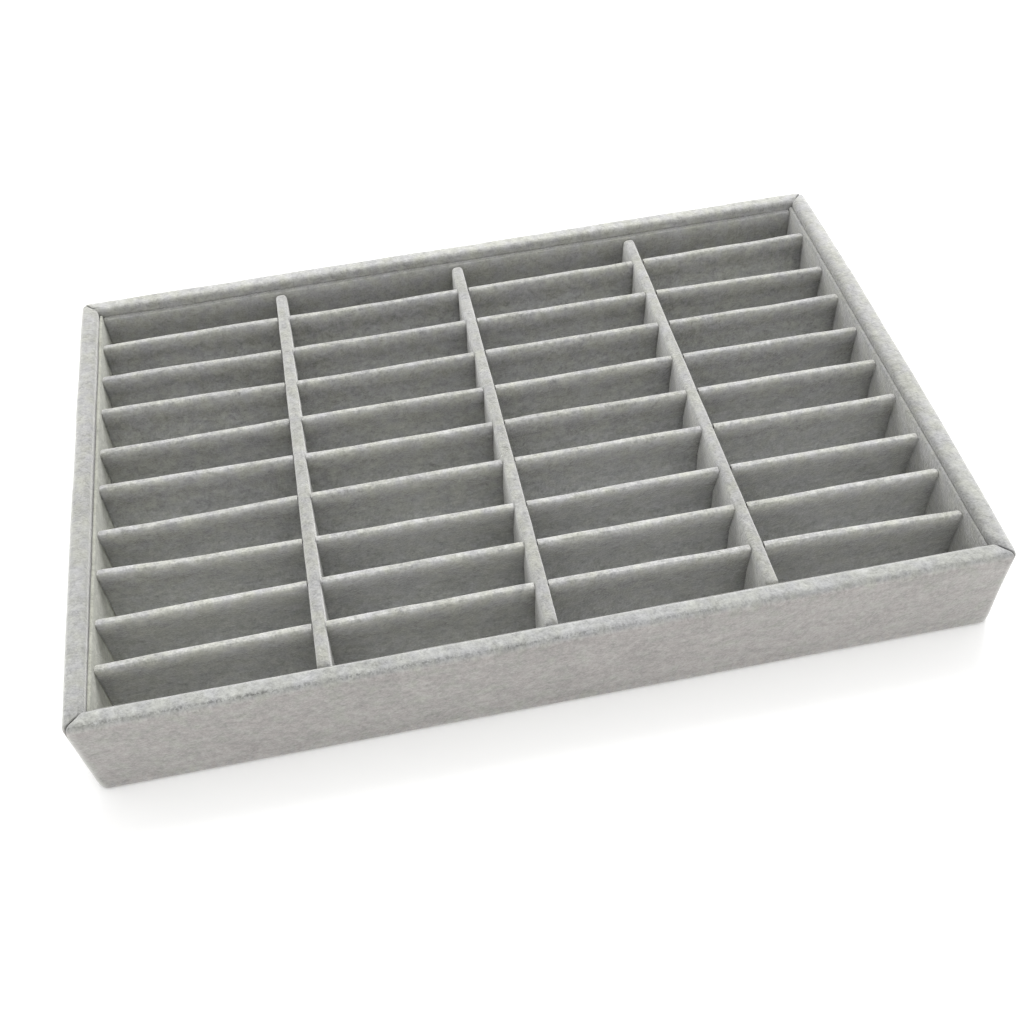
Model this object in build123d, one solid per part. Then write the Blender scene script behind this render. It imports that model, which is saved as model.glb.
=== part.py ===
from build123d import *
from math import sqrt
import os

# Bangle display box: an open tray wrapped in velvet, with a lift-out grid of
# covered strips. Millimetres, +Z up, front towards -Y, long side along X,
# origin at the middle of the underside.

# Frame, measured over the velvet
tray_width = 350.0
tray_depth = 240.0
tray_height = 43.0
rim_width = 8.0
wall_lean = 1.8  # the outer faces step in this far from the rim to the underside
corner_radius = 4.0
rim_outer_round = 3.0
rim_inner_round = 2.0
cover_cloth = 0.9
seam_gap = 0.2  # between two covers at a mitred corner

# Bottom
base_board_thickness = 3.0
base_sheet_thickness = 0.5
base_sheet_margin = 3.0
floor_card_thickness = 1.5
floor_cloth = 0.8
floor_gap = 0.2  # round the floor panel

# Liner strips that stand inside the frame
liner_thickness = 2.3
liner_cloth = 0.5
liner_drop = 4.0  # below the rim
liner_gap = 0.2  # behind a liner and at its ends
liner_round = 1.0

# Dividers
column_count = 4
row_count = 10
long_thickness = 5.0
long_cloth = 0.8
long_drop = 4.4  # below the rim
long_round = 1.8
long_end_round = 3.0
cross_thickness = 2.6
cross_cloth = 0.6
cross_drop = 4.7  # below the rim
cross_round = 1.1
cross_end_round = 1.5
lap_height = 16.0  # of the half-lap joints, above the dividers' lower edge
clearance = 0.3  # between pieces that lift apart

# Levels
frame_underside = base_sheet_thickness
base_top = frame_underside + base_board_thickness
floor_card_top = base_top + floor_card_thickness
floor_top = floor_card_top + floor_cloth
divider_bottom = floor_top + clearance
lap_level = divider_bottom + lap_height

# Room inside the frame's velvet, between its bare boards, and inside the liners
inner_width = tray_width - 2 * rim_width
inner_depth = tray_depth - 2 * rim_width
board_room_width = inner_width + 2 * cover_cloth
board_room_depth = inner_depth + 2 * cover_cloth
well_width = inner_width - 2 * (liner_gap + liner_thickness)
well_depth = inner_depth - 2 * (liner_gap + liner_thickness)

# Overlength of a cutting tool past what it cuts
over = 5.0


def width_at(level):
    return tray_width - 2 * wall_lean * (tray_height - level) / tray_height


def depth_at(level):
    return width_at(level) - tray_width + tray_depth


def plate(width, depth, bottom, thickness):
    return Pos(0, 0, bottom + thickness / 2) * Box(width, depth, thickness)


def frame_ring(inset, bottom, opening):
    """The leaning wall of the frame round an opening, with its faces moved in by the inset."""
    top = tray_height - inset
    radius = corner_radius - inset
    outlines = [
        Plane.XY.offset(level)
        * RectangleRounded(width_at(level) - 2 * inset, depth_at(level) - 2 * inset, radius)
        for level in (bottom, top)
    ]
    block = loft(outlines, ruled=True)
    block = fillet(block.faces().sort_by(Axis.Z)[-1].edges(), min(rim_outer_round - inset, radius))
    block -= extrude(Plane.XY.offset(bottom - over) * opening, amount=top - bottom + 2 * over)
    rim = block.faces().filter_by(Axis.Z).sort_by(Axis.Z)[-1]
    return fillet(rim.inner_wires()[0].edges(), rim_inner_round - inset)


def board_ring():
    opening = Rectangle(board_room_width, board_room_depth)
    return frame_ring(cover_cloth, frame_underside + cover_cloth, opening)


def frame_boards():
    """Two full-length boards, and two side boards that butt between them."""
    core = board_ring()
    reach = (tray_depth - board_room_depth) / 2 + over
    boards = {}
    for name, side in (("front", -1), ("back", 1)):
        cut = Box(tray_width + over, reach, 3 * tray_height)
        place = Pos(0, side * (board_room_depth + reach) / 2, 0)
        boards[f"frame_{name}_board"] = core & place * cut
    for name, side in (("left", -1), ("right", 1)):
        cut = Box(tray_width, board_room_depth, 3 * tray_height)
        boards[f"frame_{name}_board"] = core & Pos(side * tray_width / 2, 0, 0) * cut
    return boards


def mitre_wedge(length, width):
    """The part of the plan that the cover on one long side takes, mitred at both ends."""
    reach = rim_width + over
    half_length = length / 2
    half_width = width / 2
    trim = seam_gap / sqrt(2)
    outline = Polyline(
        (-half_length - over + trim, -half_width - over),
        (half_length + over - trim, -half_width - over),
        (half_length - reach - trim, -half_width + reach),
        (-half_length + reach + trim, -half_width + reach),
        close=True,
    )
    return extrude(make_face(outline), amount=2 * tray_height)


def frame_covers():
    """Velvet over each side: down the outside, under the board, over the rim, down the inside."""
    opening = Rectangle(inner_width, inner_depth)
    cloth = frame_ring(0, frame_underside, opening) - board_ring()
    cloth -= plate(board_room_width, board_room_depth, 0, base_top)
    front_wedge = mitre_wedge(tray_width, tray_depth)
    side_wedge = mitre_wedge(tray_depth, tray_width)
    wedges = {
        "front_cover": front_wedge,
        "back_cover": Rot(0, 0, 180) * front_wedge,
        "left_cover": Rot(0, 0, -90) * side_wedge,
        "right_cover": Rot(0, 0, 90) * side_wedge,
    }
    return {name: cloth & wedge for name, wedge in wedges.items()}


def bottom_pieces():
    sheet_width = width_at(0) - 2 * base_sheet_margin
    sheet_depth = depth_at(0) - 2 * base_sheet_margin
    floor_width = inner_width - 2 * floor_gap
    floor_depth = inner_depth - 2 * floor_gap
    return {
        "base_sheet": plate(sheet_width, sheet_depth, 0, base_sheet_thickness),
        "base_board": plate(
            board_room_width, board_room_depth, frame_underside, base_board_thickness
        ),
        "floor_card": plate(floor_width, floor_depth, base_top, floor_card_thickness),
        "floor_velvet": plate(floor_width, floor_depth, floor_card_top, floor_cloth),
    }


def covered_strip(length, height, thickness, cloth, edge_round, end_round):
    """A card strip along X and the velvet folded over its top, faces and ends."""
    # The velvet has to cover the card's square top edge
    edge_round = min(edge_round, 0.45 * thickness, 3 * cloth)
    end_round = max(end_round, edge_round)
    on_floor = (Align.CENTER, Align.CENTER, Align.MIN)
    outside = Box(length, thickness, height, align=on_floor)
    ends = outside.edges().filter_by(Axis.Y).group_by(Axis.Z)[-1]
    outside = fillet(ends, end_round)
    rounded = [
        edge
        for edge in outside.edges()
        if abs(edge.center().Y) > 0.49 * thickness and edge.center().Z > 0.01 * height
    ]
    outside = fillet(rounded, edge_round)
    card = Box(length - 2 * cloth, thickness - 2 * cloth, height - cloth, align=on_floor)
    card_ends = card.edges().filter_by(Axis.Y).group_by(Axis.Z)[-1]
    card = fillet(card_ends, end_round - cloth)
    return card, outside - card


def add_strip(pieces, name, strip, place, cuts=None):
    """Put a strip's card and velvet in their place, with any slots cut."""
    for layer, solid in zip(("card", "velvet"), strip):
        placed = place * solid
        pieces[f"{name}_{layer}"] = placed - cuts if cuts else placed


def liners():
    """Side liners run the full depth, and the front and back ones stand between them."""
    pieces = {}
    height = tray_height - liner_drop - floor_top
    side_length = inner_depth - 2 * liner_gap
    cross_length = well_width - 2 * liner_gap
    side_place = (well_width + liner_thickness) / 2
    cross_place = (well_depth + liner_thickness) / 2
    side_strip = covered_strip(
        side_length, height, liner_thickness, liner_cloth, liner_round, liner_round
    )
    cross_strip = covered_strip(
        cross_length, height, liner_thickness, liner_cloth, liner_round, liner_round
    )
    add_strip(pieces, "liner_left", side_strip, Pos(-side_place, 0, floor_top) * Rot(0, 0, 90))
    add_strip(pieces, "liner_right", side_strip, Pos(side_place, 0, floor_top) * Rot(0, 0, 90))
    add_strip(pieces, "liner_front", cross_strip, Pos(0, -cross_place, floor_top))
    add_strip(pieces, "liner_back", cross_strip, Pos(0, cross_place, floor_top))
    return pieces


def spread(room, thickness, count):
    """Centres of the dividers that part a room into a number of equal compartments."""
    gap = (room - (count - 1) * thickness) / count
    return [-room / 2 + (i + 1) * gap + (i + 0.5) * thickness for i in range(count - 1)]


def dividers():
    """Long strips drop over the cross strips: half-lap slots meet at the lap level."""
    pieces = {}
    long_height = tray_height - long_drop - divider_bottom
    cross_height = tray_height - cross_drop - divider_bottom
    long_places = spread(well_width, long_thickness, column_count)
    cross_places = spread(well_depth, cross_thickness, row_count)

    long_slot_height = lap_height + clearance / 2 + over
    long_slot = Pos(0, 0, lap_level + clearance / 2 - long_slot_height / 2) * Box(
        well_width, cross_thickness + 2 * clearance, long_slot_height
    )
    long_slots = Compound([Pos(0, y, 0) * long_slot for y in cross_places])
    cross_slot_height = cross_height - lap_height + clearance / 2 + over
    cross_slot = Pos(0, 0, lap_level - clearance / 2 + cross_slot_height / 2) * Box(
        long_thickness + 2 * clearance, well_depth, cross_slot_height
    )
    cross_slots = Compound([Pos(x, 0, 0) * cross_slot for x in long_places])

    long_length = well_depth - 2 * clearance
    long_strip = covered_strip(
        long_length, long_height, long_thickness, long_cloth, long_round, long_end_round
    )
    for number, x in enumerate(long_places, 1):
        place = Pos(x, 0, divider_bottom) * Rot(0, 0, 90)
        add_strip(pieces, f"long_divider_{number}", long_strip, place, long_slots)

    cross_length = well_width - 2 * clearance
    cross_strip = covered_strip(
        cross_length, cross_height, cross_thickness, cross_cloth, cross_round, cross_end_round
    )
    for number, y in enumerate(cross_places, 1):
        place = Pos(0, y, divider_bottom)
        add_strip(pieces, f"cross_divider_{number}", cross_strip, place, cross_slots)
    return pieces


os.makedirs("parts", exist_ok=True)
nodes = {**frame_boards(), **frame_covers(), **bottom_pieces(), **liners(), **dividers()}
for name, solid in nodes.items():
    export_step(solid, f"parts/{name}.step")
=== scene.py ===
import math
import bmesh
import bpy
from mathutils import Matrix, Vector, noise


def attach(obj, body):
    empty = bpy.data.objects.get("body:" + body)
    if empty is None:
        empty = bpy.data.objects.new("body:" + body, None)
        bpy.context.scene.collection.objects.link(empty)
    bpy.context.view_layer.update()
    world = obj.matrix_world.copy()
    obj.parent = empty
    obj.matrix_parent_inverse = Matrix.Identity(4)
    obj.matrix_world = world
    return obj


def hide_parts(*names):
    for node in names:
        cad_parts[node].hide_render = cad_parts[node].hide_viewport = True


# Bangle display box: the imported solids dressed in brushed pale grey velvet.
# The settings are in millimetres, and each mesh becomes metres as its piece is finished.
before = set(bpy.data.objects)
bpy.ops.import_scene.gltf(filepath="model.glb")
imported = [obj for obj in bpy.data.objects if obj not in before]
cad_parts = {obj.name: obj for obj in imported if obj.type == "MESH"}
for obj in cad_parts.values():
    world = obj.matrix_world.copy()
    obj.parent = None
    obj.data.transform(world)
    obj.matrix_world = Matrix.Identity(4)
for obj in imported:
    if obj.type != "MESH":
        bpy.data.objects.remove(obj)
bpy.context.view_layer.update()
mm = 0.001
hair = 0.001  # mm, within which two points count as one
sharpEdge = math.radians(50)  # edges with a larger angle stay sharp


# Shader maths and node making


class Value:
    # A socket that adds its own Math nodes, so that shader sums read as sums
    def __init__(self, finish, socket):
        self.finish = finish
        self.socket = socket

    def join(self, operation, *terms):
        return self.finish.add("Math", {"operation": operation}, dict(enumerate(terms)))

    def __add__(self, other):
        return self.join("ADD", self, other)

    def __radd__(self, other):
        return self.join("ADD", other, self)

    def __sub__(self, other):
        return self.join("SUBTRACT", self, other)

    def __rsub__(self, other):
        return self.join("SUBTRACT", other, self)

    def __mul__(self, other):
        return self.join("MULTIPLY", self, other)

    def __rmul__(self, other):
        return self.join("MULTIPLY", other, self)

    def __truediv__(self, other):
        return self.join("DIVIDE", self, other)

    def bell(self, middle, width):
        # 1 at the middle and nearly 0 at the width on either side
        off = (self - middle) / width
        return self.join("EXPONENT", off * off * -2.5)

    def fading(self, reach):
        # 1 at zero, and about a third at this reach
        return self.join("EXPONENT", self / -reach)

    def above(self, start, end):
        # 0 below the start and 1 above the end
        return self.finish.add(
            "MapRange",
            {"interpolation_type": "SMOOTHSTEP"},
            {"Value": self, "From Min": start, "From Max": end},
        )


class Finish:
    # One material, and the one way in which its nodes are made
    def __init__(self, name):
        self.material = bpy.data.materials.new(name)
        self.material.use_nodes = True
        self.tree = self.material.node_tree
        self.tree.nodes.clear()

    def add(self, kind, settings, sockets, output=0):
        node = self.tree.nodes.new("ShaderNode" + kind)
        for setting, value in settings.items():
            setattr(node, setting, value)
        for socket, value in sockets.items():
            if isinstance(value, Value):
                self.tree.links.new(value.socket, node.inputs[socket])
            else:
                node.inputs[socket].default_value = value
        return Value(self, node.outputs[output]) if node.outputs else None

    def layer(self, name):
        # A number stored on the mesh
        return self.add("Attribute", {"attribute_name": name}, {}, output="Fac")

    def place(self, axis):
        # The distance in mm from the middle of the tray along one axis
        spot = self.add("TexCoord", {}, {}, output="Object")
        return self.add("SeparateXYZ", {}, {"Vector": spot}, output=axis) / mm

    def stretched(self, size, turn):
        # Object coordinates counted in patches of this size in mm along x, y and z
        return self.add(
            "Mapping",
            {"vector_type": "POINT"},
            {
                "Vector": self.add("TexCoord", {}, {}, output="Object"),
                "Rotation": turn,
                "Scale": [1 / (side * mm) for side in size],
            },
        )

    def cloud(self, size, detail=2.0, rough=0.5, warp=0.0, turn=(0, 0, 0)):
        # Noise from about -1 to 1 whose patches have this size
        sides = size if isinstance(size, tuple) else (size, size, size)
        spots = self.add(
            "TexNoise",
            {"noise_dimensions": "3D"},
            {
                "Vector": self.stretched(sides, turn),
                "Scale": 1.0,
                "Detail": detail,
                "Roughness": rough,
                "Distortion": warp,
            },
        )
        return (spots - 0.5) * 2.5

    def tint(self, colour, factor):
        # A colour made lighter or darker by a factor
        return self.add("VectorMath", {"operation": "SCALE"}, {0: colour, "Scale": factor})

    def blend(self, factor, first, second):
        return self.add("Mix", {"data_type": "RGBA"}, {0: factor, 6: first, 7: second}, output=2)

    def bump(self, height, distance):
        return self.add("Bump", {}, {"Height": height, "Distance": distance * mm})

    def surface(self, sockets):
        shader = self.add("BsdfPrincipled", {}, sockets)
        self.add("OutputMaterial", {}, {"Surface": shader})
        return self.material


velvetLook = {
    "olive": (0.301, 0.302, 0.270, 1.0),
    "purple": (0.292, 0.291, 0.293, 1.0),
    "pink": (0.316, 0.297, 0.285, 1.0),
    "blue": (0.290, 0.297, 0.299, 1.0),
    "straw": (0.300, 0.304, 0.262, 1.0),
    "hueSizes": (6.0, 45.0),
    "hueFar": 0.35,
    "hueSpread": (-0.6, 0.6),
    "cloudSize": 24.0,
    "cloudAmount": 0.12,
    "brushSize": (8.0, 8.0, 4.0),
    "brushAmount": 0.17,
    "tuftSize": 2.4,
    "tuftAmount": 0.17,
    "flockSize": 0.85,
    "flockAmount": 0.28,
    "strokeSize": (12.0, 12.0, 1.5),
    "strokeTurn": 0.5,
    "strokeAmount": 0.02,
    "pileHeights": (0.6, 0.4),
    "pileDepth": 0.24,
    "roughness": 0.95,
    "gloss": 0.15,
    "sheen": 1.0,
    "sheenRoughness": 0.45,
    "sheenTint": (0.93, 0.93, 0.91, 1.0),
}

# What each velvet does besides: how strong its grain, its mottling and its sheen are, and where light and
# shade are painted on it. On the frame, distances count over the rim from the top of the outer face. On a
# strip they count down from its top.
frameGrainAndPaintedLight = {
    "grain": 1.0,
    "mottle": 1.6,
    "sheen": 1.0,
    "faceEnd": (0.0, 3.0),
    "faceCalm": 0.65,
    "facePink": (-0.2, 0.8),
    "creaseAt": 3.4,
    "creaseWidth": 1.3,
    "creaseDark": 0.55,
    "creaseRagged": (0.9, 0.7),
    "creaseGaps": (-0.2, 0.35),
    "patchSize": 12.0,
    "patches": (-0.9, 0.4),
    "ridgeAt": 1.2,
    "ridgeWidth": 1.4,
    "ridgeLight": 0.12,
    "seamDark": 0.75,
}
# The very top of a strip gets a painted tone, a painted band below its rounding, pale on the cross
# strips, fades out, and a dip of painted shade follows.
# These three are pairs, for the strips at the front and at the back.
crossGrainAndPaintedLight = {
    "grain": 1.35,
    "mottle": 1.9,
    "sheen": 1.0,
    "straw": 0.0,
    "cool": 0.45,
    "tone": 0.0,
    "coolRange": (4.0, 24.0),
    "backAndFront": 110.0,
    "top": (0.20, -0.02),
    "topEnd": 0.3,
    "band": (0.85, 0.62),
    "bandRagged": (0.9, 0.7, 1.2),
    "bandStart": 0.8,
    "bandReach": 3.3,
    "dip": (0.12, 0.32),
    "dipRange": (7.0, 13.0),
    # Deeper down painted light lifts the walls, and the nooks where strips meet get painted shade
    "deep": 1.0,
    "deepRange": (8.0, 34.0),
    "nookDark": 0.5,
    "nookAtTop": 0.3,
    "nookRange": (2.0, 7.0),
}
longGrainAndPaintedLight = {
    **crossGrainAndPaintedLight,
    "mottle": 1.5,
    "cool": 0.0,
    "top": (-0.08, -0.12),
    "band": (0.0, 0.0),
    "dip": (0.0, 0.0),
    "deep": 0.3,
}
leftGrainAndPaintedLight = {
    **longGrainAndPaintedLight,
    "grain": 1.1,
    "sheen": 0.35,
    "straw": 0.8,
    "tone": 0.22,
    "top": (-0.25, -0.25),
    "band": (-0.20, -0.20),
    "bandReach": 5.0,
    "deep": 1.7,
}
rightGrainAndPaintedLight = {
    **longGrainAndPaintedLight,
    "grain": 1.2,
    "top": (-0.28, -0.32),
    "band": (-0.10, -0.20),
    "bandReach": 3.0,
}
endGrainAndPaintedLight = {
    **rightGrainAndPaintedLight,
    "tone": -0.18,
    "top": (-0.20, -0.20),
    "band": (0.45, 0.45),
    "bandReach": 3.8,
    "deep": 1.0,
}


def velvetGround(velvet, look, grainAndPaintedLight):
    # Short pile brushed this way and that, with loose fibres and a hue that wanders
    clouds = velvet.cloud(look["cloudSize"], detail=2.0, warp=0.6)
    brushed = velvet.cloud(look["brushSize"], detail=3.0, rough=0.6, warp=1.2)
    tufts = velvet.cloud(look["tuftSize"], detail=2.0, rough=0.6, warp=0.5)
    flock = velvet.cloud(look["flockSize"], detail=2.0, rough=0.7)
    shade = (
        1.0
        + clouds * look["cloudAmount"]
        + brushed * (look["brushAmount"] * grainAndPaintedLight["mottle"])
        + tufts * (look["tuftAmount"] * grainAndPaintedLight["mottle"])
        + flock * (look["flockAmount"] * grainAndPaintedLight["grain"])
    )
    near, far = [velvet.cloud(size, detail=3.0) for size in look["hueSizes"]]
    hue = (near + far * look["hueFar"]).above(*look["hueSpread"])
    flockHeight, tuftHeight = look["pileHeights"]
    return {
        "shade": shade,
        "hue": hue,
        "colour": velvet.blend(hue, look["olive"], look["purple"]),
        "clouds": clouds,
        "tufts": tufts,
        "flock": flock,
        "height": flock * flockHeight + tufts * tuftHeight,
    }


def velvetSurface(velvet, look, grainAndPaintedLight, colour, shade, height):
    return velvet.surface(
        {
            "Base Color": velvet.tint(colour, shade),
            "Roughness": look["roughness"],
            "Specular IOR Level": look["gloss"],
            "Sheen Weight": look["sheen"] * grainAndPaintedLight["sheen"],
            "Sheen Roughness": look["sheenRoughness"],
            "Sheen Tint": look["sheenTint"],
            "Normal": velvet.bump(height, look["pileDepth"]),
        }
    )


def frameVelvetMaterial(look, grainAndPaintedLight):
    # Where the cloth folds over the edge the pile opens in a broken dark crease, partly the pile itself
    # and partly painted shade, and a lighter ridge lies beside it. Shade is painted into the seams, and
    # the tone layer paints light and shade on each side of the cover.
    velvet = Finish("frameVelvet")
    ground = velvetGround(velvet, look, grainAndPaintedLight)
    over = velvet.layer("over")
    outside = 1.0 - over.above(*grainAndPaintedLight["faceEnd"])
    raggedSize, raggedBy = grainAndPaintedLight["creaseRagged"]
    ragged = velvet.cloud(raggedSize, detail=2.0, rough=0.7)
    patches = velvet.cloud(grainAndPaintedLight["patchSize"], detail=2.0).above(*grainAndPaintedLight["patches"])
    crease = (over + ragged * raggedBy).bell(grainAndPaintedLight["creaseAt"], grainAndPaintedLight["creaseWidth"]) * velvet.layer("fold")
    ridge = over.bell(grainAndPaintedLight["ridgeAt"], grainAndPaintedLight["ridgeWidth"])
    turn = look["strokeTurn"]
    rising, falling = [velvet.cloud(look["strokeSize"], turn=(0, side * turn, 0)) for side in (1, -1)]
    shade = ground["shade"] + (rising + falling) * outside * look["strokeAmount"]
    # A broken dark crease along the fold, partly the opened pile and partly painted shade
    shade = shade * (1.0 - crease * ragged.above(*grainAndPaintedLight["creaseGaps"]) * patches * grainAndPaintedLight["creaseDark"])
    shade = shade * (1.0 + ridge * grainAndPaintedLight["ridgeLight"])
    # Painted shade in the valleys of the seams
    shade = shade * (1.0 - velvet.layer("seam") * grainAndPaintedLight["seamDark"])
    # Painted light and shade for each side of the cover
    shade = shade * (1.0 + velvet.layer("tone"))
    pinker = outside * ground["hue"].above(*grainAndPaintedLight["facePink"])
    colour = velvet.blend(pinker, ground["colour"], look["pink"])
    colour = velvet.blend(velvet.layer("cool"), colour, look["blue"])
    height = ground["height"] * (1.0 - outside * grainAndPaintedLight["faceCalm"])
    return velvetSurface(velvet, look, grainAndPaintedLight, colour, shade, height)


def stripVelvetMaterial(name, look, grainAndPaintedLight):
    # Light and shade are painted into the pile: a tone at the very top, a pale band of painted light
    # below it, a dip of painted shade, painted light deep down where the walls would light each other,
    # and painted shade in the nooks where strips meet
    velvet = Finish(name)
    ground = velvetGround(velvet, look, grainAndPaintedLight)
    towardsBack = velvet.place("Y").above(-grainAndPaintedLight["backAndFront"], grainAndPaintedLight["backAndFront"])
    top, band, dip = [
        towardsBack * (back - front) + front for front, back in (grainAndPaintedLight["top"], grainAndPaintedLight["band"], grainAndPaintedLight["dip"])
    ]
    depth = velvet.layer("depth")
    byTufts, byFlock, byClouds = grainAndPaintedLight["bandRagged"]
    ragged = depth + ground["tufts"] * byTufts + ground["flock"] * byFlock + ground["clouds"] * byClouds
    ragged = ragged - grainAndPaintedLight["bandStart"]
    pale = ragged.join("MAXIMUM", ragged, 0.0).fading(grainAndPaintedLight["bandReach"])
    pale = pale * band * (1.0 - velvet.layer("edge"))
    below = depth.above(0.0, grainAndPaintedLight["topEnd"])
    # Painted light and shade at the top, the painted band below it and the painted shade of the dip
    paintedLightAndShade = (1.0 - below) * top + below * (pale - (1.0 - depth.above(*grainAndPaintedLight["dipRange"])) * dip)
    # Painted light deep down, where the walls would light each other
    deep = depth.above(*grainAndPaintedLight["deepRange"]) * grainAndPaintedLight["deep"]
    # Painted shade in the nooks where strips meet
    atTop = grainAndPaintedLight["nookAtTop"]
    nook = velvet.layer("nook") * (depth.above(*grainAndPaintedLight["nookRange"]) * (1.0 - atTop) + atTop)
    nook = nook * grainAndPaintedLight["nookDark"]
    shade = ground["shade"] * (1.0 + paintedLightAndShade + deep + grainAndPaintedLight["tone"]) * (1.0 - nook)
    colour = velvet.blend(grainAndPaintedLight["straw"], ground["colour"], look["straw"])
    colour = velvet.blend(depth.above(*grainAndPaintedLight["coolRange"]) * grainAndPaintedLight["cool"], colour, look["blue"])
    return velvetSurface(velvet, look, grainAndPaintedLight, colour, shade, ground["height"])


fibreboardLook = {
    "colour": (0.36, 0.255, 0.15),
    "cloudSize": 18.0,
    "cloudAmount": 0.07,
    "fleckSize": (1.2, 3.0, 1.2),
    "fleckAmount": 0.14,
    "fleckDepth": 0.05,
    "roughness": 0.82,
    "fleckRoughness": 0.06,
    "gloss": 0.25,
}
greyboardLook = {
    **fibreboardLook,
    "colour": (0.30, 0.285, 0.26),
    "cloudAmount": 0.06,
    "fleckSize": (0.8, 2.4, 0.8),
    "fleckAmount": 0.12,
}


def boardMaterial(name, look):
    # Pressed fibres: short pale and dark flecks over a cloudy ground
    board = Finish(name)
    clouds = board.cloud(look["cloudSize"], detail=3.0)
    flecks = board.cloud(look["fleckSize"], detail=3.0, rough=0.7, warp=0.8)
    shade = 1.0 + clouds * look["cloudAmount"] + flecks * look["fleckAmount"]
    return board.surface(
        {
            "Base Color": board.tint(look["colour"], shade),
            "Roughness": flecks * look["fleckRoughness"] + look["roughness"],
            "Specular IOR Level": look["gloss"],
            "Normal": board.bump(flecks, look["fleckDepth"]),
        }
    )


backingLook = {
    "colour": (0.28, 0.28, 0.272),
    "cloudSize": 25.0,
    "cloudAmount": 0.05,
    "grainSize": 0.8,
    "grainAmount": 0.09,
    "weaveSizes": ((1.2, 4.0, 4.0), (4.0, 1.2, 4.0)),
    "weaveAmount": 0.05,
    "depth": 0.06,
    "roughness": 0.95,
    "gloss": 0.1,
    "sheen": 0.3,
    "sheenRoughness": 0.5,
}


def backingMaterial(name, look):
    # Thin flocked backing with the faint grid of its embossing
    sheet = Finish(name)
    grain = sheet.cloud(look["grainSize"], detail=2.0, rough=0.7)
    clouds = sheet.cloud(look["cloudSize"], detail=2.0)
    along, across = [sheet.cloud(size) * 0.5 for size in look["weaveSizes"]]
    weave = along + across
    shade = 1.0 + clouds * look["cloudAmount"] + grain * look["grainAmount"] + weave * look["weaveAmount"]
    return sheet.surface(
        {
            "Base Color": sheet.tint(look["colour"], shade),
            "Roughness": look["roughness"],
            "Specular IOR Level": look["gloss"],
            "Sheen Weight": look["sheen"],
            "Sheen Roughness": look["sheenRoughness"],
            "Normal": sheet.bump(grain + weave, look["depth"]),
        }
    )


frameVelvet = frameVelvetMaterial(velvetLook, frameGrainAndPaintedLight)
# The strip velvets are one cloth whose light and shade are painted differently for the cross strips, the
# long dividers, the side liners and the end liners
crossVelvet = stripVelvetMaterial("crossVelvet", velvetLook, crossGrainAndPaintedLight)
longVelvet = stripVelvetMaterial("longVelvet", velvetLook, longGrainAndPaintedLight)
leftVelvet = stripVelvetMaterial("leftVelvet", velvetLook, leftGrainAndPaintedLight)
rightVelvet = stripVelvetMaterial("rightVelvet", velvetLook, rightGrainAndPaintedLight)
endVelvet = stripVelvetMaterial("endVelvet", velvetLook, endGrainAndPaintedLight)
fibreboard = boardMaterial("fibreboard", fibreboardLook)
greyboard = boardMaterial("greyboard", greyboardLook)
flockedBacking = backingMaterial("flockedBacking", backingLook)
print("materials made")


# Helpers for the meshes


def finishPiece(mesh, name, body, material, replaced, cut=None):
    # Turns a mesh in millimetres into a piece in metres that rides on its body. The cut says what flat
    # cloth it was made from; its area is worked out but not used.
    bmesh.ops.scale(mesh, vec=(mm, mm, mm), verts=mesh.verts)
    mesh.normal_update()
    for edge in mesh.edges:
        edge.smooth = edge.is_manifold and edge.calc_face_angle(0.0) < sharpEdge
    for face in mesh.faces:
        face.smooth = True
    data = bpy.data.meshes.new(name)
    mesh.to_mesh(data)
    mesh.free()
    data.materials.append(material)
    piece = bpy.data.objects.new(name, data)
    bpy.context.scene.collection.objects.link(piece)
    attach(piece, body)
    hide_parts(*replaced)
    if cut:
        width, length = (side * mm for side in cut["flat"])
        area = cut.get("share", 1.0) * width * length


def cutAcross(mesh, axis, levels):
    # Adds a row of edges where the plane at each level crosses the mesh
    normal = [0.0, 0.0, 0.0]
    normal["xyz".index(axis)] = 1.0
    for level in levels:
        bmesh.ops.bisect_plane(
            mesh,
            geom=mesh.verts[:] + mesh.edges[:] + mesh.faces[:],
            dist=hair,
            plane_co=[level * part for part in normal],
            plane_no=normal,
        )


def spacedFrom(start, end, step):
    count = max(1, round((end - start) / step))
    return [start + (end - start) * place / count for place in range(1, count)]


def unevenness(point, patch, seed):
    # A smooth number from about -1 to 1 that changes over patches of this size. Each seed looks at
    # another part of the noise, which by itself reaches to about 0.6.
    apart = Vector([seed * step for step in (7.31, 3.17, 5.93)])
    return noise.noise(Vector(point) / patch + apart) * 1.6


def thicken(mesh, thickness):
    # Gives a skin its cloth on the inner side, and returns the vertices of its outer side
    mesh.normal_update()
    outer = set(mesh.verts)
    reach = {vert: vert.co.copy() for vert in mesh.verts}
    bmesh.ops.solidify(mesh, geom=mesh.faces[:], thickness=thickness)
    bmesh.ops.recalc_face_normals(mesh, faces=mesh.faces[:])
    moved = sum((vert.co - reach[vert]).length > 0.5 * thickness for vert in outer)
    return set(mesh.verts) - outer if moved > len(outer) / 2 else outer


# The velvet round the frame

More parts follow.
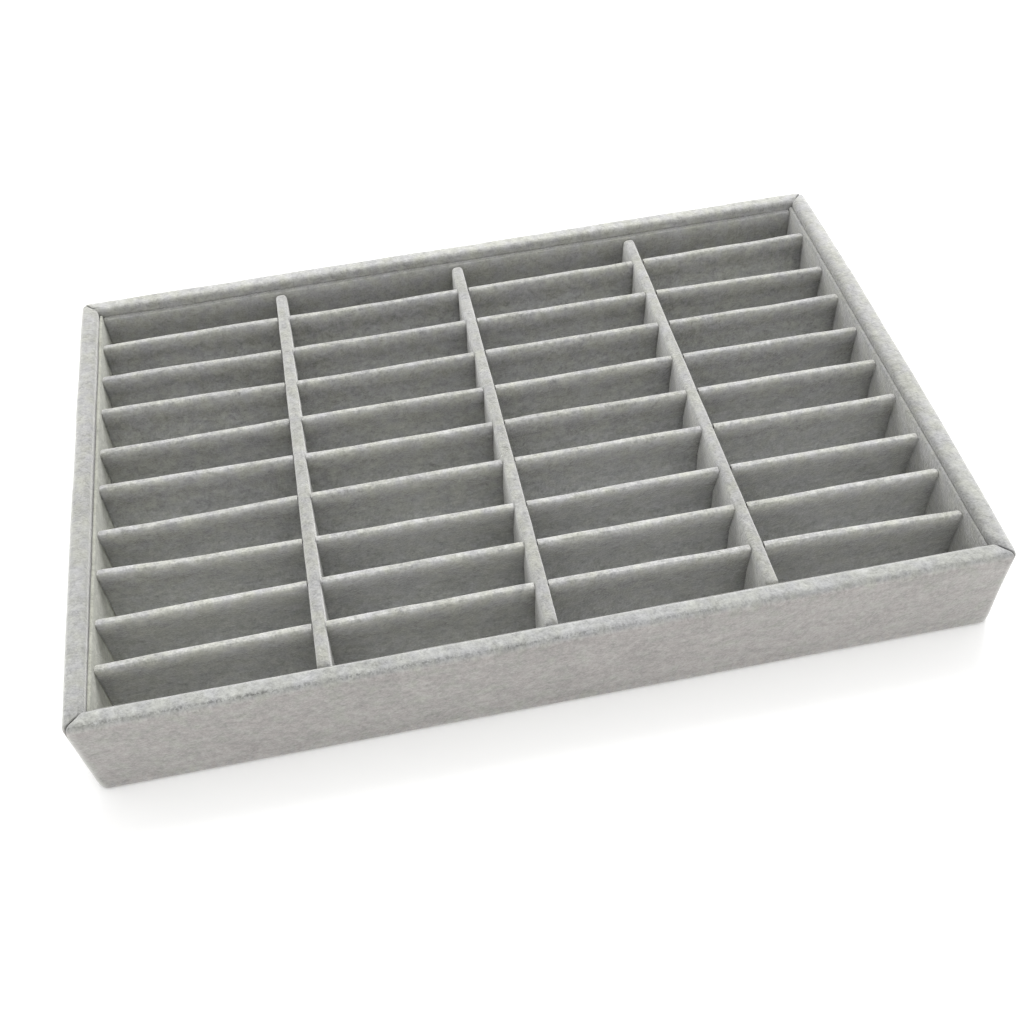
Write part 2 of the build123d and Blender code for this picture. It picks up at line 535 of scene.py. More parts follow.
frameCover = {
    "width": 350.0,
    "depth": 240.0,
    "height": 43.0,
    "lean": 1.8,
    "rim": 8.0,
    "underside": 0.5,
    "undersideRound": 1.0,
    "turnIn": 5.3,
    "hem": 1.5,
    "underLip": 1.2,
    "innerFoot": 3.6,
    "cornerRadius": 4.0,
    "innerCorner": 0.35,
    "outerRound": 3.0,
    "innerRound": 2.0,
    "cloth": 0.85,
    "cornerSegments": 8,
    "step": 5.0,
    "rowSteps": {"face": 3.0, "rim": 0.75, "inside": 6.0},
    "wavePatch": 38.0,
    "waveDepth": 0.22,
    "dimplePatch": 11.0,
    "dimpleDepth": 0.08,
    # Under this level the cloth lies flat, and between these distances over the rim its waves calm down
    # to the share that is left inside
    "flatUnder": 2.0,
    "waveEnd": (3.0, 8.0),
    "innerWave": 0.35,
    "bows": {"left": 0.6, "right": 1.5},
    "bowRoom": 1.0,
    # How much painted light (above 0) or painted shade (below 0) the pile gets on the face, on the rim's
    # outer and inner half, and inside, and between which distances over the rim one gives way to the next
    "toneTurns": ((-0.5, 1.8), (3.0, 10.0), (9.5, 12.0)),
    "tones": {
        "front": (-0.18, 0.0, 0.0, -0.05),
        "back": (-0.10, 0.12, 0.08, -0.02),
        "left": (-0.10, -0.08, -0.14, -0.10),
        "right": (-0.10, 0.12, -0.25, -0.42),
    },
    # The rim's pile looks cooler in front, and on the sides it does so towards the front
    "frontCool": 0.35,
    "sideCool": 0.2,
    "sideCoolFrom": (-20.0, 100.0),
    "coolOver": (0.5, 3.0),
    # The crease along the front edge fades from left to right, and elsewhere it is faint
    "foldFades": (-80.0, 110.0),
    "foldLoss": 0.65,
    "faintFold": 0.25,
    # The valley along each mitre, the rows of edges beside it, how near the corner and above which level
    # they are cut, and where the valley sets in up the wall and inwards from the edge
    "seamDepth": 0.75,
    "seamWidth": 0.30,
    "seamRows": (-0.6, -0.3, -0.12, 0.12, 0.3, 0.6),
    "seamReach": 3.0,
    "seamAbove": 30.0,
    "seamFade": (36.5, 40.5),
    "seamStart": (0.75, 3.0),
}


def coverProfile(s):
    # (inset from the leaning outer face, level) from the turned-in edge up, over the rim and down inside
    top, foot = s["height"], s["underside"]
    small, outer, inner = s["undersideRound"], s["outerRound"], s["innerRound"]
    rows = s["rowSteps"]
    path = [(s["turnIn"] - s["hem"], foot), (small + s["underLip"], foot)]
    for turn in range(0, 91, 30):
        angle = math.radians(turn)
        path.append((small - small * math.sin(angle), foot + small - small * math.cos(angle)))
    path += [(0.0, level) for level in spacedFrom(foot + small, top - outer, rows["face"])]
    for turn in range(0, 91, 15):
        angle = math.radians(turn)
        path.append((outer - outer * math.cos(angle), top - outer + outer * math.sin(angle)))
    path += [(inset, top) for inset in spacedFrom(outer, s["rim"] - inner, rows["rim"])]
    for turn in range(0, 91, 18):
        angle = math.radians(turn)
        path.append((s["rim"] - inner + inner * math.sin(angle), top - inner + inner * math.cos(angle)))
    path += [(s["rim"], level) for level in spacedFrom(top - inner, s["innerFoot"], rows["inside"])]
    path.append((s["rim"], s["innerFoot"]))
    return path


def roundedRing(mesh, halfWidth, halfDepth, radius, level, segments, cuts):
    # The edges of a rectangle with rounded corners, cut the same way at every size
    before = set(mesh.edges)
    corners = bmesh.ops.create_grid(mesh, x_segments=1, y_segments=1, size=1.0)["verts"]
    for corner in corners:
        corner.co = (corner.co.x * halfWidth, corner.co.y * halfDepth, level)
    made = bmesh.ops.bevel(
        mesh,
        geom=corners,
        offset=radius,
        offset_type="OFFSET",
        segments=segments,
        profile=0.5,
        affect="VERTICES",
        material=-1,
    )
    bmesh.ops.delete(mesh, geom=made["verts"][0].link_faces[:], context="FACES_ONLY")
    outline = [edge for edge in mesh.edges if edge not in before]
    for along, count in enumerate(cuts):
        outline.sort(key=lambda edge: -abs(edge.verts[0].co[along] - edge.verts[1].co[along]))
        sides, outline = outline[:2], outline[2:]
        bmesh.ops.subdivide_edges(mesh, edges=sides, cuts=count)
    return [edge for edge in mesh.edges if edge not in before]


def smooth(value, start, end):
    share = min(1.0, max(0.0, (value - start) / (end - start)))
    return share * share * (3.0 - 2.0 * share)


def paintedToneOfCover(s, point, over):
    # The painted light and shade, the coolness and the strength of the crease at a point of the cover
    beyondX = abs(point.x) - s["width"] / 2
    beyondY = abs(point.y) - s["depth"] / 2
    if beyondX > beyondY:
        side = "right" if point.x > 0 else "left"
    else:
        side = "back" if point.y > 0 else "front"
    tones = s["tones"][side]
    tone = tones[0]
    for before, after, turn in zip(tones, tones[1:], s["toneTurns"]):
        tone += (after - before) * smooth(over, *turn)
    coolness = s["sideCool"] * smooth(-point.y, *s["sideCoolFrom"])
    fold = s["faintFold"]
    if side == "front":
        coolness = s["frontCool"]
        fold = 1.0 - s["foldLoss"] * smooth(point.x, *s["foldFades"])
    return {"tone": tone, "cool": coolness * smooth(over, *s["coolOver"]), "fold": fold}


def wrapCover(mesh, s, path, lengths, overLayer):
    # The skin of the cover: a ring at each point of the profile, bridged from the hem to the inner foot
    cuts = (round(s["width"] / s["step"]), round(s["depth"] / s["step"]))
    foldStart = lengths[path.index((0.0, s["height"] - s["outerRound"]))]
    rings = []
    for (inset, level), length in zip(path, lengths):
        lean = s["lean"] * (s["height"] - level) / s["height"]
        if inset >= s["rim"] - s["innerRound"]:
            lean = 0.0
        ring = roundedRing(
            mesh,
            s["width"] / 2 - lean - inset,
            s["depth"] / 2 - lean - inset,
            max(s["cornerRadius"] - inset, s["innerCorner"]),
            level,
            s["cornerSegments"],
            cuts,
        )
        for edge in ring:
            for vert in edge.verts:
                vert[overLayer] = length - foldStart
        rings.append(ring)
    # The hem gives the first ring its faces, so that each bridge knows which way round to go
    hem = bmesh.ops.extrude_edge_only(mesh, edges=rings[0])["geom"]
    hemVerts = [part for part in hem if isinstance(part, bmesh.types.BMVert)]
    reach = max(vert.co.x for vert in hemVerts), max(vert.co.y for vert in hemVerts)
    shrink = [1 - s["hem"] / side for side in reach]
    bmesh.ops.scale(mesh, vec=(shrink[0], shrink[1], 1.0), verts=hemVerts)
    for vert in hemVerts:
        vert[overLayer] -= s["hem"]
    for lower, upper in zip(rings, rings[1:]):
        bmesh.ops.bridge_loops(mesh, edges=lower + upper)
    bmesh.ops.recalc_face_normals(mesh, faces=mesh.faces[:])
    highest = max(mesh.faces, key=lambda face: face.calc_center_median().z)
    if highest.normal.z < 0:
        bmesh.ops.reverse_faces(mesh, faces=mesh.faces[:])
    mesh.normal_update()


def waveCover(mesh, s, overLayer):
    # The cloth waves and dimples over its board, and the side walls bow out at their middles
    start, end = s["waveEnd"]
    bowed = s["width"] / 2 - s["rim"] - s["bowRoom"]
    for vert in mesh.verts:
        point = vert.co.copy()
        share = min(1.0, max(0.0, 1.0 - (vert[overLayer] - start) / (end - start)))
        wave = unevenness(point, s["wavePatch"], 1) * s["waveDepth"]
        wave += unevenness(point, s["dimplePatch"], 2) * s["dimpleDepth"]
        if point.z < s["flatUnder"]:
            wave = 0.0
        vert.co += vert.normal * wave * (s["innerWave"] + (1.0 - s["innerWave"]) * share)
        along = (1.0 - (point.y / (s["depth"] / 2)) ** 2) * (point.z / s["height"])
        if point.x > bowed:
            vert.co.x += s["bows"]["right"] * along * share
        if point.x < -bowed:
            vert.co.x -= s["bows"]["left"] * along


def cutSeams(mesh, s, seamLayer, outer):
    # A narrow valley along each mitre, where the cloth of two sides meets
    half = Vector((s["width"] / 2, s["depth"] / 2, 0.0))
    reach = s["rim"] + s["seamReach"]
    fadeStart, fadeEnd = s["seamFade"]
    atEdge, edgeReach = s["seamStart"]
    for sideX in (-1, 1):
        for sideY in (-1, 1):
            corner = Vector((sideX * half.x, sideY * half.y, 0.0))
            across = Vector((sideX, -sideY, 0.0)).normalized()

            def near(vert):
                off = vert.co - corner
                close = abs(off.x) < reach and abs(off.y) < reach
                return close and vert.co.z > s["seamAbove"] and vert in outer

            for offset in s["seamRows"]:
                faces = [face for face in mesh.faces if all(near(vert) for vert in face.verts)]
                edges = list({edge for face in faces for edge in face.edges})
                verts = list({vert for face in faces for vert in face.verts})
                made = bmesh.ops.bisect_plane(
                    mesh,
                    geom=verts + edges + faces,
                    dist=hair / 2,
                    plane_co=corner + across * offset,
                    plane_no=across,
                )
                outer.update(vert for vert in made["geom_cut"] if isinstance(vert, bmesh.types.BMVert))
            mesh.normal_update()
            pushed = {}
            for vert in mesh.verts:
                if not near(vert):
                    continue
                off = abs((vert.co - corner).dot(across))
                depth = math.exp(-((off / s["seamWidth"]) ** 2))
                inward = max(abs(vert.co.x) - half.x, abs(vert.co.y) - half.y) + s["rim"]
                fade = min(1.0, max(0.0, (vert.co.z - fadeStart) / (fadeEnd - fadeStart)))
                fade *= min(1.0, max(atEdge / edgeReach, inward / edgeReach))
                vert[seamLayer] = depth * fade
                pushed[vert] = vert.co - vert.normal * s["seamDepth"] * depth * fade
            for vert, place in pushed.items():
                vert.co = place


def buildFrameVelvet(s):
    mesh = bmesh.new()
    overLayer = mesh.verts.layers.float.new("over")
    seamLayer = mesh.verts.layers.float.new("seam")
    paintedLayers = {name: mesh.verts.layers.float.new(name) for name in ("tone", "cool", "fold")}
    path = coverProfile(s)
    lengths = [0.0]
    for before, after in zip(path, path[1:]):
        lengths.append(lengths[-1] + math.dist(before, after))
    wrapCover(mesh, s, path, lengths, overLayer)
    waveCover(mesh, s, overLayer)
    outer = thicken(mesh, s["cloth"])
    cutSeams(mesh, s, seamLayer, outer)
    # Each vertex stores its painted light and shade, its coolness and how strong its crease is
    for vert in mesh.verts:
        for name, value in paintedToneOfCover(s, vert.co, vert[overLayer]).items():
            vert[paintedLayers[name]] = value
    sides = ("front", "back", "left", "right")
    cut = {
        "flat": (2 * (s["width"] + s["depth"]), lengths[-1] + s["hem"]),
        "held": "stretched",
        "restsOn": [f"frame_{side}_board" for side in sides],
    }
    replaced = [f"{side}_cover" for side in sides]
    finishPiece(mesh, "frame_velvet", "tray", frameVelvet, replaced, cut)


buildFrameVelvet(frameCover)
print("frame velvet made")


# Strips: liners and dividers

# The well is the room between the liners. The half-laps meet at the lap level, up to just below which
# the strips stand still, and the clearance is between strips that lift apart.
stripSizes = {
    "columns": 4,
    "rows": 10,
    "floor": 5.8,
    "dividerFoot": 6.1,
    "lapLevel": 22.1,
    "leanFromLap": -1.0,
    "wellWidth": 329.0,
    "wellDepth": 219.0,
    "clearance": 0.3,
    "linerGap": 0.2,
    # How far the top of each long divider has slid to the right, and both ends of the cross strips
    "slides": (0.4, 0.75, 0.95),
    "endSlides": (-0.1, 0.15),
    # The cloth's rows of edges, the room that they leave beside a slot and below the rounded top, the
    # smallest rounding, and how far from a cut edge the painted pale band is held back
    "rowStep": 3.5,
    "columnRoom": 1.2,
    "rowRoom": 0.6,
    "topRoom": 0.3,
    "leastRound": 0.15,
    "cutEdgeReach": 0.7,
    # The patches of the wavy top and of the padding, at which shares of the height both are felt, and
    # the share of its depth that the padding may sink in
    "topPatch": 26.0,
    "topWaveFrom": 0.8,
    "puffPatch": 17.0,
    "puffFull": 0.25,
    "puffIn": 0.4,
    "fluffRange": (0.6, 0.85),
}


def slotEdges(slots):
    # (place along the strip, direction away from the slot) of both edges of each slot
    return [(middle + side * width, side) for middle, width, low, high in slots for side in (-1, 1)]


def roundedBlock(mesh, length, thickness, foot, top, edgeRound, endRound, tall):
    # A block along X, open underneath, whose upper corners and long edges are rounded
    bmesh.ops.create_cube(mesh, size=1.0)
    bmesh.ops.scale(mesh, vec=(length, thickness, top - foot), verts=mesh.verts)
    bmesh.ops.translate(mesh, vec=(0, 0, (top + foot) / 2), verts=mesh.verts)
    under = [face for face in mesh.faces if face.normal.z < -0.9]
    bmesh.ops.delete(mesh, geom=under, context="FACES_ONLY")
    crosswise = [
        edge
        for edge in mesh.edges
        if abs(edge.verts[0].co.y - edge.verts[1].co.y) > 0.5 * thickness and not edge.is_boundary
    ]
    rounding = {
        "offset_type": "OFFSET",
        "segments": 5,
        "profile": 0.5,
        "affect": "EDGES",
        "clamp_overlap": True,
        "material": -1,
    }
    bmesh.ops.bevel(mesh, geom=crosswise, offset=endRound, **rounding)
    # Squat while its long edges are rounded, so that the top becomes the half of an oval
    bmesh.ops.scale(mesh, vec=(1.0, 1.0, 1.0 / tall), verts=mesh.verts)
    rims = [
        edge
        for edge in mesh.edges
        if abs(edge.verts[0].co.y - edge.verts[1].co.y) < hair and not edge.is_boundary
    ]
    bmesh.ops.bevel(mesh, geom=rims, offset=edgeRound, **rounding)
    bmesh.ops.scale(mesh, vec=(1.0, 1.0, tall), verts=mesh.verts)


def stripSkin(s, length, slots=(), inset=0.0):
    # The outer skin of a covered strip along X, open underneath, with its slots cut out.
    # A slot is (middle, half width, lowest level, highest level).
    foot, top = s["foot"], s["top"] - inset
    edgeRound = max(stripSizes["leastRound"], s["edgeRound"] - inset)
    endRound = max(edgeRound, s["endRound"] - inset)
    mesh = bmesh.new()
    depthLayer = mesh.verts.layers.float.new("depth")
    edgeLayer = mesh.verts.layers.float.new("edge")
    mesh.verts.layers.float.new("nook")
    roundedBlock(mesh, length, s["thickness"] - 2 * inset, foot, top, edgeRound, endRound, s["oval"])
    half = length / 2
    cutEdges = [edge for edge, side in slotEdges(slots)]
    near = [edge + side * gap for edge, side in slotEdges(slots) for gap in s["gaps"]]
    columns = spacedFrom(-half + endRound, half - endRound, s["step"])
    room = stripSizes["columnRoom"]
    columns = [x for x in columns if all(abs(x - cut) > room for cut in cutEdges + near)]
    rows = spacedFrom(foot, top - edgeRound * s["oval"] - stripSizes["topRoom"], stripSizes["rowStep"])
    levels = {level for slot in slots for level in slot[2:] if foot < level < top}
    rows = [z for z in rows if all(abs(z - cut) > stripSizes["rowRoom"] for cut in levels)]
    cutAcross(mesh, "z", rows + sorted(levels))
    cutAcross(mesh, "x", sorted(columns + cutEdges + near))
    gone = []
    for face in mesh.faces:
        middle = face.calc_center_median()
        for slotMiddle, width, low, high in slots:
            if abs(middle.x - slotMiddle) < width and low < middle.z < high:
                gone.append(face)
    bmesh.ops.delete(mesh, geom=gone, context="FACES")
    for vert in mesh.verts:
        vert[depthLayer] = s["top"] - vert.co.z
        away = min([abs(vert.co.x - edge) for edge in cutEdges], default=math.inf)
        vert[edgeLayer] = math.exp(-away / stripSizes["cutEdgeReach"])
    roundSlotCorners(mesh, s, slots, top)
    return mesh


def roundSlotCorners(mesh, s, slots, top):
    # Where a slot is open at the top, the corners beside it are rounded over, each side by its own radius
    for vert in mesh.verts:
        for middle, width, low, high in slots:
            radius = s["slotRounds"][vert.co.x > middle]
            beside = abs(vert.co.x - middle) - width
            below = top - vert.co.z
            if high < top or beside > radius or below > radius or beside < -10 * hair:
                continue
            out = Vector((radius - beside, radius - below))
            if out.length > radius:
                out *= radius / out.length
                vert.co.z = top - radius + out.y
                vert.co.x = middle + math.copysign(width + radius - out.x, vert.co.x - middle)


def riseAboveLap(z):
    # 0 up to just under the half-laps and 1 at the tops of the dividers
    level = stripSizes["lapLevel"] + stripSizes["leanFromLap"]
    return max(0.0, (z - level) / (longLook["top"] - level))


def darkenNooks(mesh, s, ends):
    # Stores how much painted shade a point gets from its nearness to the ends of its strip and to the
    # slots. An end is (place, direction away from it, how dark the painted shade of its nook is).
    nookLayer = mesh.verts.layers.float["nook"]
    for vert in mesh.verts:
        for place, away, dark in ends:
            gap = (vert.co.x - place) * away
            if gap > -100 * hair:
                vert[nookLayer] = max(vert[nookLayer], dark * math.exp(-gap / s["nookReach"]))


def shapeStrip(mesh, s, seed, shift=None):
    # Uneven padding, a wandering top edge, and the lean and bow of the strip: the shift gives how far
    # a point moves along the strip and across it
    mesh.normal_update()
    waveFrom = stripSizes["topWaveFrom"]
    for vert in mesh.verts:
        point = vert.co.copy()
        rise = max(0.0, (point.z - s["foot"]) / (s["top"] - s["foot"]))
        wave = unevenness((point.x, seed * 3.0, 0.0), stripSizes["topPatch"], seed + 4) * s["topWave"]
        puff = unevenness(point, stripSizes["puffPatch"], seed) * s["puff"]
        puff = max(puff * min(1.0, rise / stripSizes["puffFull"]), -stripSizes["puffIn"] * s["puff"])
        fluff = s["fluff"] * smooth(rise, *stripSizes["fluffRange"])
        vert.co += vert.normal * (puff + fluff)
        vert.co.z += min(0.0, wave * max(0.0, rise - waveFrom) / (1.0 - waveFrom))
    if shift:
        for vert in mesh.verts:
            along, across = shift(vert.co.x, vert.co.z)
            vert.co.x += along
            vert.co.y += across


def stripCut(s, length, slots=()):
    # The flat cloth that covers the top and both faces of a strip, with the share left by its slots
    girth = 2 * (s["top"] - s["foot"]) + s["thickness"]
    away = 0.0
    for middle, width, low, high in slots:
        away += 4 * width * (min(high, s["top"]) - max(low, s["foot"]))
    return {"flat": (girth, length), "share": 1.0 - away / (girth * length), "held": "folded"}


def placeStrip(mesh, turned, centre):
    # Turned strips run along Y
    if turned:
        quarter = Matrix.Rotation(math.pi / 2, 3, "Z")
        bmesh.ops.rotate(mesh, cent=(0, 0, 0), matrix=quarter, verts=mesh.verts)
    bmesh.ops.translate(mesh, vec=(centre[0], centre[1], 0.0), verts=mesh.verts)


def spread(room, thickness, count):
    # The middles of the strips that part a room into a number of equal compartments
    gap = (room - (count - 1) * thickness) / count
    return [-room / 2 + (place + 1) * gap + (place + 0.5) * thickness for place in range(count - 1)]


linerLook = {
    "thickness": 2.3,
    "sideThickness": 1.4,
    "cloth": 0.45,
    "foot": stripSizes["floor"],
    "top": 39.0,
    "edgeRound": 1.05,
    "sideEdgeRound": 0.65,
    "endRound": 1.1,
    "oval": 2.0,
    "sideRise": 1.4,
    "gaps": (),
    "slotRounds": (0.0, 0.0),
    "step": 4.0,
    "topWave": 0.35,
    "puff": 0.10,
    "fluff": 0.0,
    "cardRound": 0.6,
    "cardGap": 0.03,
    "cardShorter": 1.0,
    "cardWall": 0.19,
}


def buildLiners(s):
    # The side liners are thinner, and stand a little higher than those at the front and the back, so
    # they have a card of their own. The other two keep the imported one.
    sideLook = {
        **s,
        "thickness": s["sideThickness"],
        "top": s["top"] + s["sideRise"],
        "edgeRound": s["sideEdgeRound"],
    }
    thinner = s["thickness"] - sideLook["thickness"]
    outX = (stripSizes["wellWidth"] + s["thickness"] + thinner) / 2
    outY = (stripSizes["wellDepth"] + s["thickness"]) / 2
    sideLength = stripSizes["wellDepth"] + 2 * s["thickness"]
    crossLength = stripSizes["wellWidth"] + 2 * (thinner - stripSizes["linerGap"])
    places = {
        "left": (sideLook, sideLength, (-outX, 0.0), leftVelvet),
        "right": (sideLook, sideLength, (outX, 0.0), rightVelvet),
        "front": (s, crossLength, (0.0, -outY), endVelvet),
        "back": (s, crossLength, (0.0, outY), endVelvet),
    }
    for seed, (side, (own, length, centre, material)) in enumerate(places.items(), 1):
        turned = own is sideLook
        name = f"liner_{side}"
        core = f"{name}_card"
        mesh = stripSkin(own, length)
        shapeStrip(mesh, own, seed)
        placeStrip(mesh, turned, centre)
        thicken(mesh, s["cloth"])
        if turned:
            core = f"{name}_board"
            cardLook = {**own, "edgeRound": s["cardRound"]}
            card = stripSkin(cardLook, length - s["cardShorter"], inset=s["cloth"] + s["cardGap"])
            placeStrip(card, turned, centre)
            thicken(card, s["cardWall"])
            finishPiece(card, core, "tray", greyboard, [f"{name}_card"])
        cut = {**stripCut(own, length), "restsOn": [core]}
        finishPiece(mesh, f"{name}_cloth", "tray", material, [f"{name}_velvet"], cut)


buildLiners(linerLook)
print("liners made")

longLook = {
    "thickness": 5.0,
    "cloth": 0.75,
    "foot": stripSizes["dividerFoot"],
    "top": 38.6,
    "edgeRound": 1.7,
    "endRound": 2.6,
    "oval": 1.1,
    "gaps": (),
    "slotRounds": (0.0, 0.0),
    "step": 3.5,
    "slotHalf": 1.6,
    "topWave": 0.35,
    "puff": 0.12,
    "fluff": 0.0,
}

crossLook = {
    "thickness": 2.6,
    "cloth": 0.55,
    "foot": stripSizes["dividerFoot"],
    "top": 38.3,
    "edgeRound": 1.22,
    "length": 330.2,
    "endRound": 1.3,
    "oval": 2.0,
    # Rows of edges this far beside each slot, where the painted shade of the nooks falls
    "gaps": (0.35, 0.8, 1.5, 2.6, 4.2),
    # Radii of the corners on the left and on the right of a slot
    "slotRounds": (1.0, 0.8),
    # How far the painted shade of a nook reaches, and how dark it is at the right ends of the panels and
    # at their left ends
    "nookReach": 1.8,
    "rightNooks": (0.25, 0.6, 0.9, 1.0),
    "leftNook": 0.25,
    "step": 3.5,
    "slotHalf": 2.66,
    "topWave": 0.4,
    "puff": 0.10,
    "fluff": 0.25,
    # Between these distances from the middle a strip comes free of the long dividers, and its lower
    # part leans too. It also wanders a little by itself.
    "freeRange": (105.0, 150.0),
    "wanderPatch": 60.0,
    "wander": 0.35,
    # How far each strip's top edge stands towards the back at its middle and its ends,
    # from the front strip to the back one
    "middles": (-0.75, -2.2, -3.9, -1.25, -0.8, -0.55, 0.25, 0.85, 1.9),
    "leftEnds": (-2.45, -3.15, -1.1, -2.6, 0.85, -0.4, 3.1, 2.5, 1.6),
    "rightEnds": (-2.7, -2.05, -3.9, -1.95, -2.15, -1.65, -0.3, -1.75, 2.7),
}


coreSizes = {"gap": 0.05, "lower": 0.4, "round": 0.15, "slotWider": 0.08, "wall": 0.46}


def withCore(s, length, slots):
    # The skins of a strip's cloth and of the card under it
    inset = s["cloth"] + coreSizes["gap"]
    coreLook = {
        **s,
        "top": s["top"] - coreSizes["lower"],
        "edgeRound": inset + coreSizes["round"],
        "oval": 1.0,
    }
    wider = coreSizes["slotWider"]
    coreSlots = [(middle, width + wider, low, high) for middle, width, low, high in slots]
    return stripSkin(s, length, slots), stripSkin(coreLook, length - 2 * inset, coreSlots, inset)


def buildDivider(s, skins, name, body, material, seed, place, shift, cut, ends=()):
    # One divider: its cloth and the card that it is folded over, both shifted alike
    skin, core = skins
    mesh = skin.copy()
    darkenNooks(mesh, s, ends)
    shapeStrip(mesh, s, seed, shift)
    placeStrip(mesh, *place)
    thicken(mesh, s["cloth"])
    cut = {**cut, "restsOn": [f"{name}_board"]}
    finishPiece(mesh, f"{name}_cloth", body, material, [f"{name}_velvet"], cut)
    card = core.copy()
    shapeStrip(card, {**s, "topWave": 0.0, "puff": 0.0, "fluff": 0.0}, seed, shift)
    placeStrip(card, *place)
    thicken(card, coreSizes["wall"] * (s["thickness"] - 2 * s["cloth"]) - coreSizes["gap"])
    finishPiece(card, f"{name}_board", body, greyboard, [f"{name}_card"])


def buildLongDividers(s):
    crossPlaces = spread(stripSizes["wellDepth"], crossLook["thickness"], stripSizes["rows"])
    lap = stripSizes["lapLevel"] + stripSizes["clearance"] / 2
    slots = [(y, s["slotHalf"], -math.inf, lap) for y in crossPlaces]
    length = stripSizes["wellDepth"] - 2 * stripSizes["clearance"]
    skins = withCore(s, length, slots)
    cut = stripCut(s, length, slots)
    places = spread(stripSizes["wellWidth"], s["thickness"], stripSizes["columns"])
    for number, (x, slide) in enumerate(zip(places, stripSizes["slides"]), 1):

        def shift(along, z, slide=slide):
            return 0.0, -slide * riseAboveLap(z)

        name = f"long_divider_{number}"
        buildDivider(s, skins, name, name, longVelvet, number + 20, (True, (x, 0.0)), shift, cut)
    for skin in skins:
        skin.free()


def crossShift(s, number):
    # Each cross strip leans by another amount at its middle and its ends, and slides aside with the
    # long dividers. Between the half-laps only the part above them leans.
    middle, left, right = (s[key][number - 1] for key in ("middles", "leftEnds", "rightEnds"))
    half = s["length"] / 2
    longPlaces = spread(stripSizes["wellWidth"], longLook["thickness"], stripSizes["columns"])
    stops = [-half, *longPlaces, half]
    first, last = stripSizes["endSlides"]
    slides = [first, *stripSizes["slides"], last]

    def shift(x, z):
        slide = slides[-1]
        for (near, nearSlide), (far, farSlide) in zip(zip(stops, slides), zip(stops[1:], slides[1:])):
            if x <= far:
                slide = nearSlide + (farSlide - nearSlide) * max(0.0, (x - near) / (far - near))
                break
        free = smooth(abs(x), *s["freeRange"])
        rise = riseAboveLap(z)
        lean = rise + (max(0.0, (z - s["foot"]) / (s["top"] - s["foot"])) - rise) * free
        end = right if x > 0 else left
        wander = unevenness((x, number * 9.0, 0.0), s["wanderPatch"], number + 40) * s["wander"]
        return slide * rise, lean * (middle + (end - middle) * (x / half) ** 2 + wander)

    return shift


def buildCrossDividers(s):
    longPlaces = spread(stripSizes["wellWidth"], longLook["thickness"], stripSizes["columns"])
    lap = stripSizes["lapLevel"] - stripSizes["clearance"] / 2
    slots = [(x, s["slotHalf"], lap, math.inf) for x in longPlaces]
    half = s["length"] / 2
    lefts = [(place, side, s["leftNook"]) for place, side in slotEdges(slots) + [(-half, 1)] if side > 0]
    rights = [(place, side) for place, side in slotEdges(slots) + [(half, -1)] if side < 0]
    nooks = lefts + [(place, side, dark) for (place, side), dark in zip(rights, s["rightNooks"])]
    skins = withCore(s, s["length"], slots)
    cut = stripCut(s, s["length"], slots)
    places = spread(stripSizes["wellDepth"], s["thickness"], stripSizes["rows"])
    for number, y in enumerate(places, 1):
        name = f"cross_divider_{number}"
        place = (False, (0.0, y))
        shift = crossShift(s, number)
        buildDivider(s, skins, name, "cross_dividers", crossVelvet, number, place, shift, cut, nooks)
    for skin in skins:
        skin.free()


buildLongDividers(longLook)
buildCrossDividers(crossLook)
print("dividers made")


# Floor and base sheet

floorCloth = {
    "width": 333.6,
    "depth": 223.6,
    "foot": 5.1,
    "top": stripSizes["floor"],
    "step": 6.0,
    "wavePatch": 30.0,
    "wave": 0.06,
}
baseSheet = {"width": 340.4, "depth": 230.4, "foot": 0.0, "top": 0.5, "corner": 2.0}


def buildFloorCloth(s):
    mesh = bmesh.new()
    depthLayer = mesh.verts.layers.float.new("depth")
    bmesh.ops.create_grid(
        mesh,
        x_segments=round(s["width"] / s["step"]),
        y_segments=round(s["depth"] / s["step"]),
        size=0.5,
    )
    bmesh.ops.scale(mesh, vec=(s["width"], s["depth"], 1.0), verts=mesh.verts)
    for vert in mesh.verts:
        sunk = (unevenness(vert.co, s["wavePatch"], 51) - 1.0) * s["wave"]
        vert.co.z = s["top"] + min(0.0, sunk)
        # The floor cloth lies at the depth of the cell floors, so it gets their painted light
        vert[depthLayer] = crossLook["top"] - s["top"]
    thicken(mesh, s["top"] - s["foot"])
    cut = {"flat": (s["width"], s["depth"]), "held": "laid", "restsOn": ["floor_card"]}
    finishPiece(mesh, "floor_cloth", "tray", crossVelvet, ["floor_velvet"], cut)


def buildBaseSheet(s):
    mesh = bmesh.new()
    corners = bmesh.ops.create_grid(mesh, x_segments=1, y_segments=1, size=0.5)["verts"]
    bmesh.ops.scale(mesh, vec=(s["width"], s["depth"], 1.0), verts=corners)
    bmesh.ops.bevel(
        mesh,
        geom=corners,
        offset=s["corner"],
        offset_type="OFFSET",
        segments=6,
        profile=0.5,
        affect="VERTICES",
        material=-1,
    )
    bmesh.ops.translate(mesh, vec=(0, 0, s["top"]), verts=mesh.verts)
    thicken(mesh, s["top"] - s["foot"])
    cut = {"flat": (s["width"], s["depth"]), "held": "laid", "restsOn": ["base_board"]}
    finishPiece(mesh, "backing_sheet", "tray", flockedBacking, ["base_sheet"], cut)


buildFloorCloth(floorCloth)
buildBaseSheet(baseSheet)

for node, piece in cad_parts.items():
    piece.data.materials.clear()
    piece.data.materials.append(greyboard if node.endswith("card") else fibreboard)
print("floor, base and boards made")


# Stage, lights and camera, in metres and degrees, but the floor's mottle in millimetres

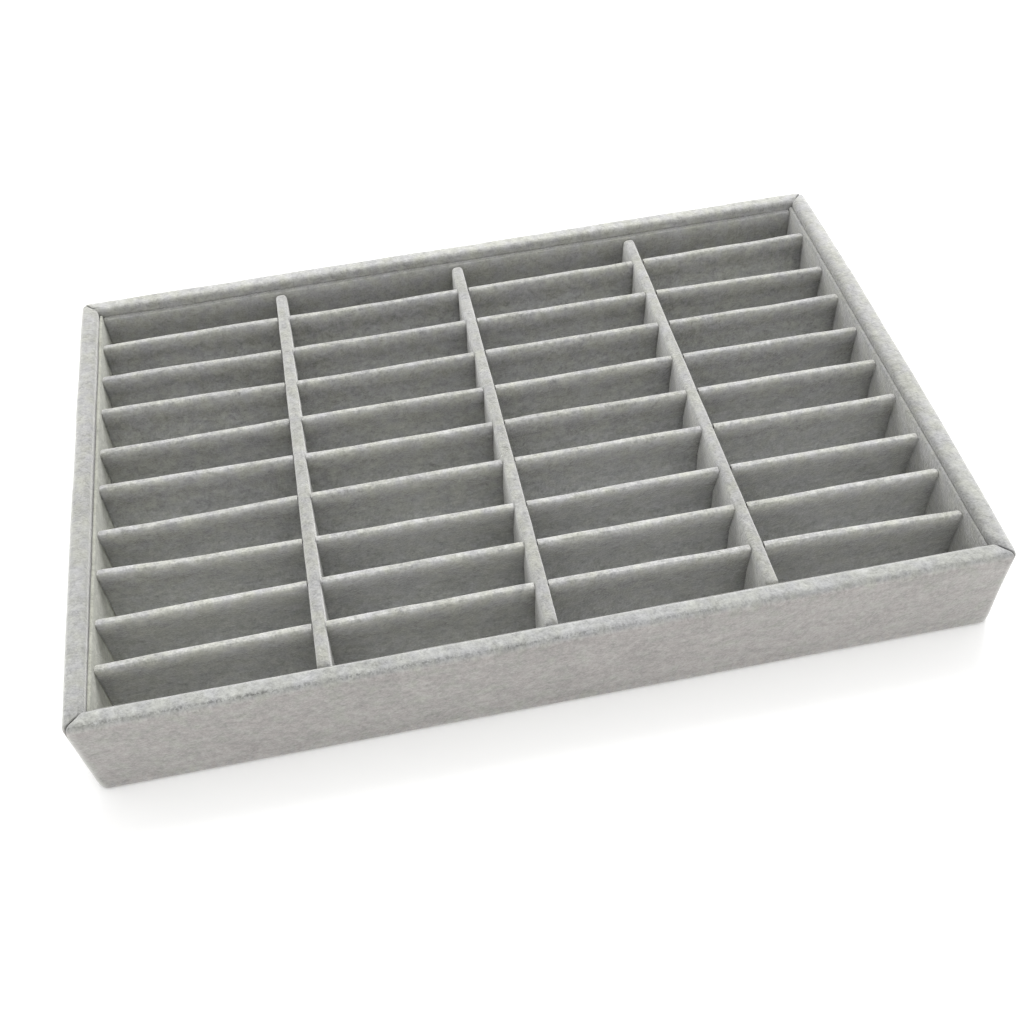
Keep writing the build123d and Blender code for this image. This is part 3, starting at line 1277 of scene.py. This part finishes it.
stage = {
    "size": 6.0,
    "colour": (0.94, 0.94, 0.935),
    "mottleSize": 90.0,
    "mottle": 0.006,
    "roughness": 0.9,
    "gloss": 0.1,
    "glow": 0.10,
}
light = {"world": 1.12, "key": 31.0, "keySize": 1.3, "keyPlace": (0.30, 1.00, 1.20)}
view = {
    "place": (-0.0494, -0.3933, 0.4202),
    "azimuth": 7.69,
    "elevation": 47.91,
    "roll": -4.256,
    "lens": 46.03,
    "sensor": 36.0,
    "nearest": 0.01,
}


def buildStage(s):
    pale = Finish("paleFloor")
    mottle = pale.cloud(s["mottleSize"], detail=2.0)
    material = pale.surface(
        {
            "Base Color": pale.tint(s["colour"], 1.0 + mottle * s["mottle"]),
            "Roughness": s["roughness"],
            "Specular IOR Level": s["gloss"],
            "Emission Color": (1.0, 1.0, 1.0, 1.0),
            "Emission Strength": s["glow"],
        }
    )
    mesh = bmesh.new()
    bmesh.ops.create_grid(mesh, x_segments=2, y_segments=2, size=s["size"] / 2)
    data = bpy.data.meshes.new("floor")
    mesh.to_mesh(data)
    mesh.free()
    data.materials.append(material)
    floor = bpy.data.objects.new("floor", data)
    bpy.context.scene.collection.objects.link(floor)


def buildLights(s):
    world = bpy.data.worlds.new("studio")
    world.use_nodes = True
    sky = world.node_tree.nodes["Background"]
    sky.inputs["Color"].default_value = (1.0, 1.0, 1.0, 1.0)
    sky.inputs["Strength"].default_value = s["world"]
    bpy.context.scene.world = world
    lamp = bpy.data.lights.new("key", "AREA")
    lamp.shape = "DISK"
    lamp.size = s["keySize"]
    lamp.energy = s["key"]
    key = bpy.data.objects.new("key", lamp)
    key.location = s["keyPlace"]
    key.rotation_euler = Vector(s["keyPlace"]).to_track_quat("Z", "Y").to_euler()
    bpy.context.scene.collection.objects.link(key)


def buildCamera(s):
    lensData = bpy.data.cameras.new("camera")
    lensData.lens = s["lens"]
    lensData.sensor_width = s["sensor"]
    lensData.clip_start = s["nearest"]
    camera = bpy.data.objects.new("camera", lensData)
    camera.matrix_world = (
        Matrix.Translation(s["place"])
        @ Matrix.Rotation(math.radians(-s["azimuth"]), 4, "Z")
        @ Matrix.Rotation(math.radians(90.0 - s["elevation"]), 4, "X")
        @ Matrix.Rotation(math.radians(s["roll"]), 4, "Z")
    )
    bpy.context.scene.collection.objects.link(camera)
    bpy.context.scene.camera = camera


buildStage(stage)
buildLights(light)
buildCamera(view)
bpy.context.scene.view_settings.view_transform = "Standard"
print("stage, lights and camera made")
